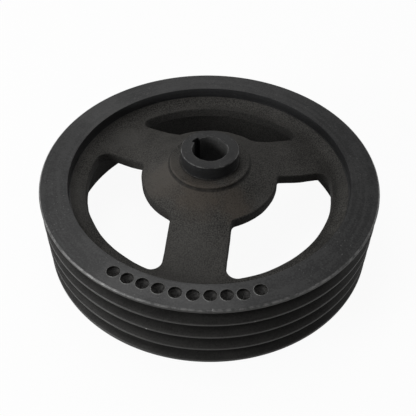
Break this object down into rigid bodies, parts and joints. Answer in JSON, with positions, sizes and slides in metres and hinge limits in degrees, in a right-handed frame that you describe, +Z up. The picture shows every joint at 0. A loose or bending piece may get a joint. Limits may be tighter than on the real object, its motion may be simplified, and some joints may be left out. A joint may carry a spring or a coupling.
{
  "type": "drive sheave",
  "caption": "One-piece cast iron V-belt drive sheave with a dished web, open windows and a raised hub bored for a keyed shaft",
  "frame": {"origin": "on the bore's axis, in the plane of the rim's lower face", "axes": "+Z up along the bore, out of the end where the hub stands above the rim; -Y towards the row of balance holes, the front of the picture; +X to the right"},
  "size_m": [0.34, 0.34, 0.1117],
  "materials": {
    "iron": "dark oiled grey iron, turned bright on the rim face, grooves and hub, rough as cast on the web"
  },
  "bodies": {
    "root": {"sheave": "iron"}
  },
  "joints": []
}
